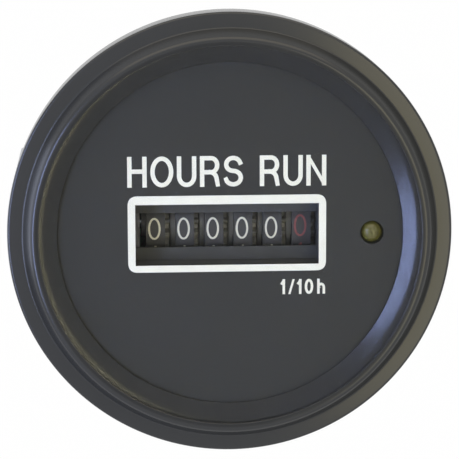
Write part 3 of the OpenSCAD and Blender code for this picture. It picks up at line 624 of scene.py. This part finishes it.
# plain sans letters drawn as centre lines in a box of 1 by 1: (width over height, strokes)
def letterStrokes(letter):
    loop = arc(0.5, 0.5, 0.5, 0.5, 0, 360, 40)
    shapes = {
        "H": (0.60, [[(0, 0), (0, 1)], [(1, 0), (1, 1)], [(0, 0.52), (1, 0.52)]]),
        "O": (0.71, [loop]),
        "U": (0.60, [[(0, 1)] + arc(0.5, 0.33, 0.5, 0.33, 180, 360) + [(1, 1)]]),
        "R": (0.62, [[(0, 0), (0, 1)], [(0, 1)] + arc(0.58, 0.735, 0.38, 0.265, 90, -90) + [(0, 0.47)],
                     arc(0.5, 0.2, 0.42, 0.27, 85, 15, 8) + [(1, 0)]]),
        "S": (0.60, [arc(0.5, 0.755, 0.47, 0.245, 15, 270) + arc(0.5, 0.255, 0.5, 0.255, 90, -165)[1:]]),
        "N": (0.62, [[(0, 0), (0, 1)], [(1, 0), (1, 1)], [(0, 1), (1, 0)]]),
        "h": (0.52, [[(0, 0), (0, 1)], [(0, 0.4)] + arc(0.5, 0.4, 0.5, 0.28, 180, 0) + [(1, 0)]]),
        "/": (0.42, [[(0, -0.02), (1, 1.02)]]),
        "0": (0.56, [loop]),
        "1": (0.40, [[(0.1, 0.76), (0.6, 0.96)], [(0.65, 0), (0.65, 1)]]),
        "2": (0.56, [arc(0.5, 0.71, 0.5, 0.29, 170, -25) + [(0, 0), (1, 0)]]),
        "3": (0.56, [arc(0.47, 0.755, 0.46, 0.245, 160, -90), arc(0.47, 0.255, 0.53, 0.255, 90, -165)]),
        "4": (0.58, [[(0.74, 0), (0.74, 1), (0, 0.3), (1, 0.3)]]),
        "5": (0.56, [[(0.92, 1), (0.14, 1), (0.06, 0.5)], arc(0.46, 0.32, 0.54, 0.32, 135, -155)]),
        "6": (0.56, [arc(0.5, 0.3, 0.5, 0.3, 0, 360, 32), arc(0.9, 0.32, 0.9, 0.68, 100, 178)]),
        "7": (0.54, [[(0, 1), (1, 1), (0.36, 0)]]),
        "8": (0.56, [arc(0.5, 0.76, 0.43, 0.24, 0, 360, 28), arc(0.5, 0.27, 0.5, 0.27, 0, 360, 32)]),
        "9": (0.56, [arc(0.5, 0.7, 0.5, 0.3, 0, 360, 32), arc(0.1, 0.68, 0.9, 0.68, -80, -2)]),
    }
    return shapes[letter]


def strokePoints(line, step):
    # points along a centre line, close enough to follow a curved surface
    points = [Vector(line[0])]
    for end in line[1:]:
        start, end = points[-1].copy(), Vector(end)
        count = max(1, math.ceil((end - start).length / step))
        points += [start.lerp(end, i / count) for i in range(1, count + 1)]
    return points


# how far a corner may sharpen, how much of half a width an end takes, and how much each layer rises
inkFlow = {"corner": 0.45, "end": 0.98, "layer": 0.15}


# one inked stroke as a thin closed ribbon; put(x, y, lift) sets it on its surface
def inkStroke(work, points, half, thick, put, low, high):
    closed = (points[0] - points[-1]).length < 1e-6
    if closed:
        points = points[:-1]
    count = len(points)
    rings = []
    for i, here in enumerate(points):
        before = points[i - 1] if closed or i else None
        after = points[(i + 1) % count] if closed or i < count - 1 else None
        legs = ((here - before) if before else None, (after - here) if after else None)
        ways = [leg.normalized() for leg in legs if leg]
        along = sum(ways, Vector((0, 0))).normalized()
        side = Vector((-along.y, along.x)) * half / max(inkFlow["corner"], along.dot(ways[0]))
        if not closed and i in (0, count - 1):
            here = here + along * (half if i else -half) * inkFlow["end"]  # square end
        edges = [(here + side, 0), (here - side, 0), (here - side, thick), (here + side, thick)]
        inside = [(min(max(p.x, low.x), high.x), min(max(p.y, low.y), high.y), lift) for p, lift in edges]
        rings.append([work.verts.new(put(*place)) for place in inside])
    for i in range(count if closed else count - 1):
        one, two = rings[i], rings[(i + 1) % count]
        for k in range(4):
            work.faces.new((one[k], one[(k + 1) % 4], two[(k + 1) % 4], two[k]))
    if not closed:
        work.faces.new(rings[0][::-1])
        work.faces.new(rings[-1])


def inkLetter(work, letter, left, low, wide, tall, weight, thick, put, step):
    half = weight / 2
    corner, across = Vector((left, low)), Vector((wide, tall))
    for layer, line in enumerate(letterStrokes(letter)[1]):
        scaled = [(left + half + x * (wide - weight), low + half + y * (tall - weight)) for x, y in line]
        # each stroke dries a hair thicker than the last, so no two top faces share a plane
        thicker = thick * (1 + inkFlow["layer"] * layer)
        inkStroke(work, strokePoints(scaled, step), half, thicker, put, corner, corner + across)


def finishMesh(work, name):
    bmesh.ops.recalc_face_normals(work, faces=work.faces)
    mesh = bpy.data.meshes.new(name)
    work.to_mesh(mesh)
    work.free()
    return mesh


# printing on the dial: a generic heading, the window border and the tenths note
# in mm; step is the space between points of a stroke, and gaps are shares of a letter's height
dialPrint = {"thick": 0.03, "step": 9, "left": -13.34, "right": 12.52,
             "heading": "HOURS RUN", "headingLow": 6.28, "headingHigh": 10.32, "headingWeight": 0.57,
             "letterGap": 0.11, "wordGap": 0.3,
             "note": "1/10 h", "noteLow": -8.1, "noteHigh": -6.1, "noteRight": 12.42, "noteWeight": 0.33,
             "noteGap": 0.13, "noteSpace": 0.0,
             "borderTop": 5.12, "borderLow": -4.97, "borderRound": 1.3, "windowLeft": -12.35,
             "windowRight": 11.55, "windowTop": 3.95, "windowLow": -4.05, "windowClear": 0.02}


def onDial(x, y, lift):
    return Vector((x, -(dialFace + lift), y)) * mm


def textWidth(text, gap, space):
    return sum(space if c == " " else letterStrokes(c)[0] for c in text) + gap * (len(text) - 1)


def printText(name, text, left, right, low, high, weight, gap, space):
    stretch = (right - left) / textWidth(text, gap, space)
    work = bmesh.new()
    x = left
    for letter in text:
        wide = (space if letter == " " else letterStrokes(letter)[0]) * stretch
        if letter != " ":
            inkLetter(work, letter, x, low, wide, high - low, weight, dialPrint["thick"], onDial,
                      dialPrint["step"])
        x += wide + gap * stretch
    linkPiece(name, finishMesh(work, name), "meter", whiteInk)


def printBorder():
    outer = roundedOutline([
        (dialPrint["left"], dialPrint["borderLow"], dialPrint["borderRound"]),
        (dialPrint["right"], dialPrint["borderLow"], dialPrint["borderRound"]),
        (dialPrint["right"], dialPrint["borderTop"], dialPrint["borderRound"]),
        (dialPrint["left"], dialPrint["borderTop"], dialPrint["borderRound"])], steps=10)
    clear = dialPrint["windowClear"]
    left, right = dialPrint["windowLeft"] - clear, dialPrint["windowRight"] + clear
    low, top = dialPrint["windowLow"] - clear, dialPrint["windowTop"] + clear
    inner = [Vector(p) for p in ((left, low), (right, low), (right, top), (left, top))]
    curve = bpy.data.curves.new("border", "CURVE")
    curve.dimensions = "2D"
    curve.fill_mode = "BOTH"
    curve.extrude = dialPrint["thick"] / 2
    for loop in (outer, inner):
        spline = curve.splines.new("POLY")
        spline.points.add(len(loop) - 1)
        for point, place in zip(spline.points, loop):
            point.co = (place.x, place.y, 0, 1)
        spline.use_cyclic_u = True
    piece = bpy.data.objects.new("border", curve)
    bpy.context.scene.collection.objects.link(piece)
    mesh = evaluatedMesh(piece)
    for v in mesh.vertices:
        v.co = onDial(v.co.x, v.co.y, dialPrint["thick"] / 2 + v.co.z)
    linkPiece("window_border", mesh, "meter", whiteInk)


printText("heading_print", dialPrint["heading"], dialPrint["left"], dialPrint["right"],
          dialPrint["headingLow"], dialPrint["headingHigh"], dialPrint["headingWeight"],
          dialPrint["letterGap"], dialPrint["wordGap"])
noteTall = dialPrint["noteHigh"] - dialPrint["noteLow"]
noteWide = textWidth(dialPrint["note"], dialPrint["noteGap"], dialPrint["noteSpace"]) * noteTall
printText("note_print", dialPrint["note"], dialPrint["noteRight"] - noteWide, dialPrint["noteRight"],
          dialPrint["noteLow"], dialPrint["noteHigh"], dialPrint["noteWeight"], dialPrint["noteGap"],
          dialPrint["noteSpace"])
printBorder()
print("dial printed")

# digits printed round each wheel, nought near the front and the next one below it
# in mm; leads and spacing are degrees round the wheel
digits = {"tall": 2.97, "weight": 0.265, "thick": 0.015, "lift": 0.002, "step": 0.3, "offset": -0.16,
          "lead": -0.1, "tenthsLead": 2.2, "spacing": 36}


def printDigits(node, body, middle, lead, ink):
    work = bmesh.new()
    for number in range(10):
        ahead = math.radians(lead - digits["spacing"] * number)

        def onRim(x, y, lift):
            turn = ahead + y / wheelRadius
            reach = wheelRadius + digits["lift"] + lift
            return Vector((x, -(wheelAxis + reach * math.cos(turn)), reach * math.sin(turn))) * mm

        wide = letterStrokes(str(number))[0] * digits["tall"]
        inkLetter(work, str(number), middle - wide / 2, -digits["tall"] / 2, wide, digits["tall"],
                  digits["weight"], digits["thick"], onRim, digits["step"])
    linkPiece("digits_" + node[6:], finishMesh(work, "digits"), body, ink)


wheelBodies = {"wheel_10000": "ten_thousands_wheel", "wheel_1000": "thousands_wheel",
               "wheel_100": "hundreds_wheel", "wheel_10": "tens_wheel", "wheel_1": "units_wheel",
               "wheel_tenths": "tenths_wheel"}
wheelPitch = (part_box("wheel_1")[0].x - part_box("wheel_10")[0].x) / mm
for place, (node, body) in enumerate(wheelBodies.items()):
    middle = (place - (len(wheelBodies) - 1) / 2) * wheelPitch + digits["offset"]
    if node == "wheel_tenths":
        printDigits(node, body, middle, digits["tenthsLead"], redInk)
    else:
        printDigits(node, body, middle, digits["lead"], creamInk)
print("digits printed on the wheels")


# sizes in mm; sides and rings set how finely the thread is drawn
thread = {"radius": 2.0, "pitch": 0.7, "depth": 0.36, "sides": 40, "ringsPerTurn": 8, "weld": 0.002,
          "headRadius": 3.5, "headThick": 1.4, "headSides": 48}


# rolled thread: a sheet rolled into a tube whose radius rises and falls along a helix
def rolledThreadTree():
    tree = bpy.data.node_groups.new("rolledThread", "GeometryNodeTree")
    face = tree.interface
    for name, kind in (("Length", "Float"), ("Radius", "Float"), ("Depth", "Float"), ("Pitch", "Float"),
                       ("Spread", "Float"), ("Rings", "Int"), ("Finish", "Material")):
        face.new_socket(name, in_out="INPUT", socket_type="NodeSocket" + kind)
    face.new_socket("Studs", in_out="OUTPUT", socket_type="NodeSocketGeometry")
    given = addNode(tree, "NodeGroupInput").outputs
    sheet = addNode(tree, "GeometryNodeMeshGrid",
                    {"Size X": 1, "Size Y": 1, "Vertices X": thread["sides"] + 1},
                    {"Vertices Y": given["Rings"]})
    place = addNode(tree, "GeometryNodeInputPosition").outputs[0]
    where = addNode(tree, "ShaderNodeSeparateXYZ", links={0: place})
    around = addNode(tree, "ShaderNodeMath", {1: 0.5}, {0: where.outputs["X"]}, operation="ADD").outputs[0]
    share = addNode(tree, "ShaderNodeMath", {1: 0.5}, {0: where.outputs["Y"]}, operation="ADD").outputs[0]
    along = addNode(tree, "ShaderNodeMath", links={0: share, 1: given["Length"]},
                    operation="MULTIPLY").outputs[0]
    turns = addNode(tree, "ShaderNodeMath", links={0: along, 1: given["Pitch"]},
                    operation="DIVIDE").outputs[0]
    phase = addNode(tree, "ShaderNodeMath", links={0: turns, 1: around}, operation="SUBTRACT").outputs[0]
    flank = addNode(tree, "ShaderNodeMath", {1: 0.5}, {0: phase}, operation="PINGPONG").outputs[0]
    rise = addNode(tree, "ShaderNodeMath", {1: 2.0}, {0: flank}, operation="MULTIPLY").outputs[0]
    cutIn = addNode(tree, "ShaderNodeMath", links={0: rise, 1: given["Depth"]},
                    operation="MULTIPLY").outputs[0]
    crest = addNode(tree, "ShaderNodeMath", links={0: given["Radius"], 1: cutIn},
                    operation="SUBTRACT").outputs[0]
    left = addNode(tree, "ShaderNodeMath", links={0: given["Length"], 1: along},
                   operation="SUBTRACT").outputs[0]
    root = addNode(tree, "ShaderNodeMath", links={0: given["Radius"], 1: given["Depth"]},
                   operation="SUBTRACT").outputs[0]
    point = addNode(tree, "ShaderNodeMath", links={0: root, 1: left}, operation="ADD").outputs[0]
    reach = addNode(tree, "ShaderNodeMath", links={0: crest, 1: point}, operation="MINIMUM").outputs[0]
    angle = addNode(tree, "ShaderNodeMath", {1: 2 * math.pi}, {0: around}, operation="MULTIPLY").outputs[0]
    over = addNode(tree, "ShaderNodeMath", links={0: angle}, operation="COSINE").outputs[0]
    up = addNode(tree, "ShaderNodeMath", links={0: angle}, operation="SINE").outputs[0]
    spoke = addNode(tree, "ShaderNodeCombineXYZ", links={0: over, 1: up})
    wall = addNode(tree, "ShaderNodeVectorMath", links={0: spoke.outputs[0], "Scale": reach},
                   operation="SCALE")
    height = addNode(tree, "ShaderNodeCombineXYZ", links={2: along})
    rolled = addNode(tree, "ShaderNodeVectorMath", links={0: wall.outputs[0], 1: height.outputs[0]},
                     operation="ADD")
    tube = addNode(tree, "GeometryNodeSetPosition",
                   links={"Geometry": sheet.outputs["Mesh"], "Position": rolled.outputs[0]})
    end = addNode(tree, "GeometryNodeMeshCircle", {"Vertices": thread["sides"]}, {"Radius": root},
                  fill_type="TRIANGLE_FAN")
    lift = addNode(tree, "ShaderNodeCombineXYZ", links={2: given["Length"]})
    cap = addNode(tree, "GeometryNodeTransform",
                  links={"Geometry": end.outputs["Mesh"], "Translation": lift.outputs[0]})
    stud = addNode(tree, "GeometryNodeJoinGeometry")
    tree.links.new(cap.outputs[0], stud.inputs[0])
    tree.links.new(tube.outputs[0], stud.inputs[0])
    welded = addNode(tree, "GeometryNodeMergeByDistance", {"Distance": thread["weld"] * mm},
                     {"Geometry": stud.outputs[0]})
    half = addNode(tree, "ShaderNodeMath", {1: -0.5}, {0: given["Spread"]}, operation="MULTIPLY").outputs[0]
    start = addNode(tree, "ShaderNodeCombineXYZ", links={0: half})
    step = addNode(tree, "ShaderNodeCombineXYZ", links={0: given["Spread"]})
    places = addNode(tree, "GeometryNodeMeshLine", {"Count": 2},
                     {"Start Location": start.outputs[0], "Offset": step.outputs[0]})
    both = addNode(tree, "GeometryNodeInstanceOnPoints",
                   links={"Points": places.outputs["Mesh"], "Instance": welded.outputs["Geometry"]})
    real = addNode(tree, "GeometryNodeRealizeInstances", links={"Geometry": both.outputs[0]})
    coated = addNode(tree, "GeometryNodeSetMaterial",
                     links={"Geometry": real.outputs[0], "Material": given["Finish"]})
    addNode(tree, "NodeGroupOutput", links={"Studs": coated.outputs["Geometry"]})
    return tree


def threadedStuds():
    low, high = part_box("studs")
    spread = high.x - low.x - 2 * thread["headRadius"] * mm
    length = high.y - low.y - thread["headThick"] * mm
    blank = bpy.data.objects.new("studBlank", bpy.data.meshes.new("studBlank"))
    bpy.context.scene.collection.objects.link(blank)
    modifier = blank.modifiers.new("thread", "NODES")
    modifier.node_group = rolledThreadTree()
    for name, value in (("Length", length), ("Radius", thread["radius"] * mm),
                        ("Depth", thread["depth"] * mm), ("Pitch", thread["pitch"] * mm),
                        ("Spread", spread), ("Finish", zincFastener)):
        setInput(modifier, name, value)
    setInput(modifier, "Rings", int(length / mm / thread["pitch"] * thread["ringsPerTurn"]))
    mesh = evaluatedMesh(blank)
    work = bmesh.new()
    work.from_mesh(mesh)
    bmesh.ops.recalc_face_normals(work, faces=work.faces)
    work.transform(Matrix.Translation((0, high.y - length, 0)) @ Matrix.Rotation(-math.pi / 2, 4, "X"))
    for side in (-0.5, 0.5):  # round head held inside the rear wall
        seat = Matrix.Translation((side * spread, low.y + thread["headThick"] / 2 * mm, 0))
        bmesh.ops.create_cone(work, cap_ends=True, segments=thread["headSides"],
                              radius1=thread["headRadius"] * mm, radius2=thread["headRadius"] * mm,
                              depth=thread["headThick"] * mm,
                              matrix=seat @ Matrix.Rotation(math.pi / 2, 4, "X"))
    work.to_mesh(mesh)
    work.free()
    shadeByAngle(mesh, crease["stud"])
    piece = linkPiece("studs_threaded", mesh, "meter", zincFastener)
    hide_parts("studs")


threadedStuds()
print("studs threaded")

# raised plus and minus on the rear wall under the blades; the pads stand past the wall
signs = {"reach": 1.2, "stroke": 0.5, "rise": 0.25, "below": 3.6, "pads": 0.6, "bladeWide": 6.3}


def polaritySigns():
    low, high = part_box("terminals")
    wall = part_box("case")[1].y - signs["pads"] * mm
    middle = high.x - signs["bladeWide"] / 2 * mm
    drop = low.z + (high.z - low.z) / 2 - signs["below"] * mm
    reach, thin = signs["reach"] * mm, signs["stroke"] / 2 * mm
    work = bmesh.new()
    bars = [(middle, reach, thin), (middle, thin, reach), (-middle, reach, thin)]
    for x, half, tall in bars:
        size = Matrix.Diagonal((2 * half, 2 * signs["rise"] * mm, 2 * tall, 1))
        bmesh.ops.create_cube(work, size=1, matrix=Matrix.Translation((x, wall, drop)) @ size)
    mesh = bpy.data.meshes.new("signs")
    work.to_mesh(mesh)
    work.free()
    linkPiece("polarity_signs", mesh, "meter", grainedAbs)


polaritySigns()
print("polarity signs raised")

# stage, lights and camera
scene = bpy.context.scene
scene.view_settings.view_transform = "Standard"

stage = {"floor": -0.3, "back": 1.6, "front": 0.3, "side": 1.6, "top": 2.2, "bend": 0.8,
         "white": "#fbfbfa", "rough": 0.9, "seenWhite": 0.98}


def stageSweep():
    corners = [(stage["front"], stage["floor"], 0), (stage["back"], stage["floor"], stage["bend"]),
               (stage["back"], stage["top"], 0)]
    line = roundedOutline(corners, steps=16)
    count = len(line)
    points = [(side, p.x, p.y) for side in (-stage["side"], stage["side"]) for p in line]
    faces = [(i, i + count, i + count + 1, i + 1) for i in range(count - 1)]
    mesh = bpy.data.meshes.new("sweep")
    mesh.from_pydata(points, [], faces)
    sweep = bpy.data.objects.new("sweep", mesh)
    scene.collection.objects.link(sweep)
    material = bpy.data.materials.new("paperSweep")  # matt white paper, seen as plain white
    material.use_nodes = True
    tree = material.node_tree
    paper = tree.nodes["Principled BSDF"]
    paper.inputs["Base Color"].default_value = hexColour(stage["white"])
    paper.inputs["Roughness"].default_value = stage["rough"]
    ray = addNode(tree, "ShaderNodeLightPath").outputs
    seen = addNode(tree, "ShaderNodeMath", links={0: ray["Is Camera Ray"], 1: ray["Is Glossy Ray"]},
                   operation="MAXIMUM")
    plain = addNode(tree, "ShaderNodeMath", links={0: seen.outputs[0], 1: ray["Is Transmission Ray"]},
                    operation="MAXIMUM")
    share = addNode(tree, "ShaderNodeMath", {1: stage["seenWhite"]}, {0: plain.outputs[0]},
                    operation="MULTIPLY")
    glow = addNode(tree, "ShaderNodeEmission", {"Color": (1, 1, 1, 1), "Strength": 1})
    mix = addNode(tree, "ShaderNodeMixShader",
                  links={0: share.outputs[0], 1: paper.outputs[0], 2: glow.outputs[0]})
    tree.links.new(mix.outputs[0], tree.nodes["Material Output"].inputs["Surface"])
    mesh.materials.append(material)
    sweep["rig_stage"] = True


stageSweep()
print("white sweep set up")

world = bpy.data.worlds.new("studio")
world.use_nodes = True
scene.world = world
# an even room, darker low in front where the lens would mirror it
room = {"fill": "#dededc", "dark": 0.1, "from": (0.05, -0.98, -0.17), "core": 0.994, "edge": 0.983}
tree = world.node_tree
ray = addNode(tree, "ShaderNodeLightPath").outputs
way = addNode(tree, "ShaderNodeTexCoord").outputs["Generated"]
facing = addNode(tree, "ShaderNodeVectorMath", {1: Vector(room["from"]).normalized()}, {0: way},
                 operation="DOT_PRODUCT")
level = addNode(tree, "ShaderNodeMapRange",
                {"From Min": room["edge"], "From Max": room["core"], "To Min": 1, "To Max": room["dark"]},
                {"Value": facing.outputs["Value"]})
dim = tree.nodes["Background"]
dim.inputs["Color"].default_value = hexColour(room["fill"])
tree.links.new(level.outputs[0], dim.inputs["Strength"])
white = addNode(tree, "ShaderNodeBackground", {"Color": (1, 1, 1, 1), "Strength": 1})
mix = addNode(tree, "ShaderNodeMixShader",
              links={0: ray["Is Camera Ray"], 1: dim.outputs[0], 2: white.outputs[0]})
tree.links.new(mix.outputs[0], tree.nodes["World Output"].inputs["Surface"])

# soft panels in metres and watts, each aimed at the meter
softboxes = {
    "leftWindow": {"place": (-0.413, -0.435, -0.031), "size": (0.13, 0.43), "power": 2.05,
                   "colour": "#aec1ff"},
    "leftRear": {"place": (-0.6, 0.08, 0.0), "size": (0.9, 0.4), "power": 1.7, "colour": "#d3deff"},
    "rightWarm": {"place": (0.232, -0.553, -0.06), "size": (0.22, 0.5), "power": 0.66,
                  "colour": "#fff3bf"},
    "overhead": {"place": (0.0, -0.55, 1.3), "size": (2.0, 1.0), "power": 7, "colour": "#fff0cf"},
}
for name, box in softboxes.items():
    lamp = bpy.data.lights.new(name, "AREA")
    lamp.shape = "RECTANGLE"
    lamp.size, lamp.size_y = box["size"]
    lamp.energy = box["power"]
    lamp.color = hexColour(box["colour"])[:3]
    light = bpy.data.objects.new(name, lamp)
    light.location = box["place"]
    light.rotation_euler = Vector(box["place"]).to_track_quat("Z", "Y").to_euler()
    scene.collection.objects.link(light)

# the photograph's view: degrees from straight ahead, metres away, lens in mm
view = {"turn": -3.0, "rise": 10.35, "roll": -0.2, "away": 0.3, "lens": 179.7, "sensor": 36,
        "aim": (-0.00003, -0.003, 0.00034)}
turn, rise = math.radians(view["turn"]), math.radians(view["rise"])
back = Vector((math.sin(turn) * math.cos(rise), -math.cos(turn) * math.cos(rise), math.sin(rise)))
lensData = bpy.data.cameras.new("camera")
lensData.lens = view["lens"]
lensData.sensor_width = view["sensor"]
camera = bpy.data.objects.new("camera", lensData)
camera.location = Vector(view["aim"]) + back * view["away"]
upright = back.to_track_quat("Z", "Y").to_matrix().to_4x4()
camera.rotation_euler = (upright @ Matrix.Rotation(math.radians(view["roll"]), 4, "Z")).to_euler()
scene.collection.objects.link(camera)
scene.camera = camera
print("stage, lights and camera set")

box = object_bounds()
